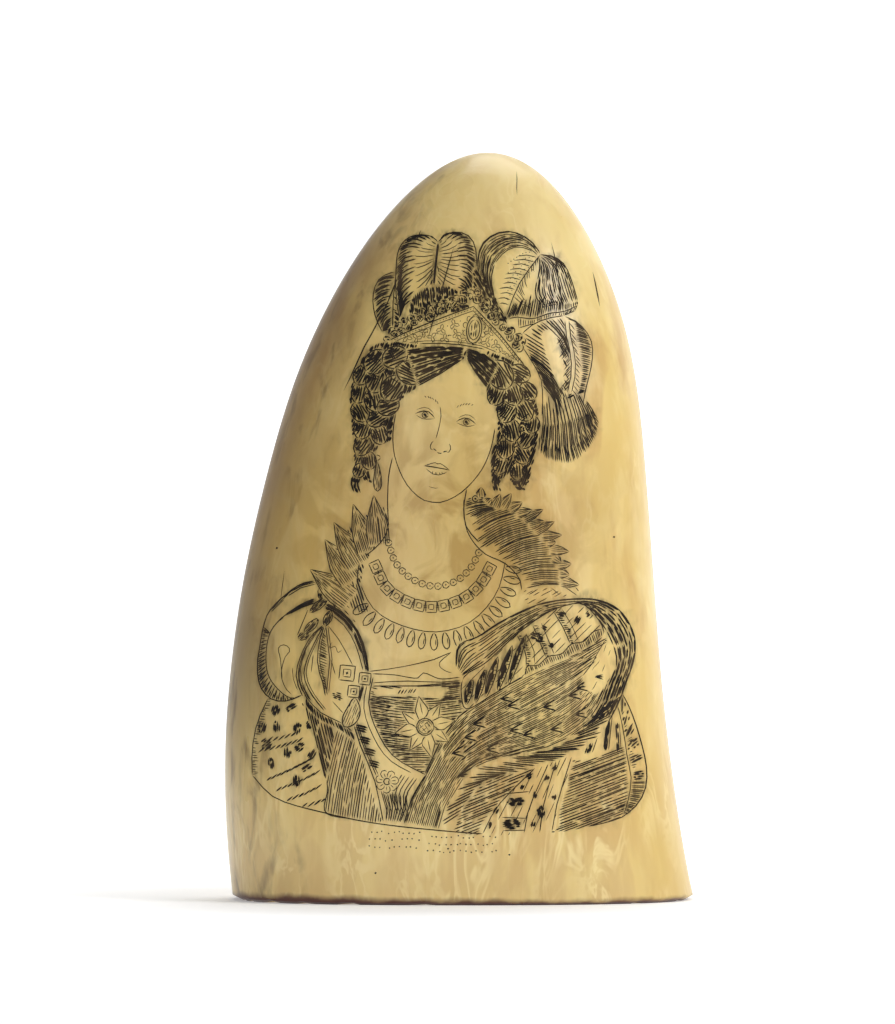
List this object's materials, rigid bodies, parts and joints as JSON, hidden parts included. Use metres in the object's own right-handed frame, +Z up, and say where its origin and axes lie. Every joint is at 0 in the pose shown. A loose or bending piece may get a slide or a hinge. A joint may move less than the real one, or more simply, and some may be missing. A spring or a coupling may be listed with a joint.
{
  "type": "scrimshaw whale tooth",
  "caption": "Upright polished whale tooth with an open pulp hollow in its flat root and an engraved portrait on its broad front.",
  "frame": {"origin": "middle of the footprint, on the flat cut of the root that the tooth stands on", "axes": "+Z up to the tip, -Y out of the engraved broad face, +X to the right of someone who looks at that face"},
  "size_m": [0.0852, 0.0542, 0.136],
  "materials": {
    "ivory": "polished cream and honey tooth ivory, mottled and streaked, with dark ink rubbed into engraved lines"
  },
  "bodies": {
    "root": {"tooth": "ivory"}
  },
  "joints": []
}
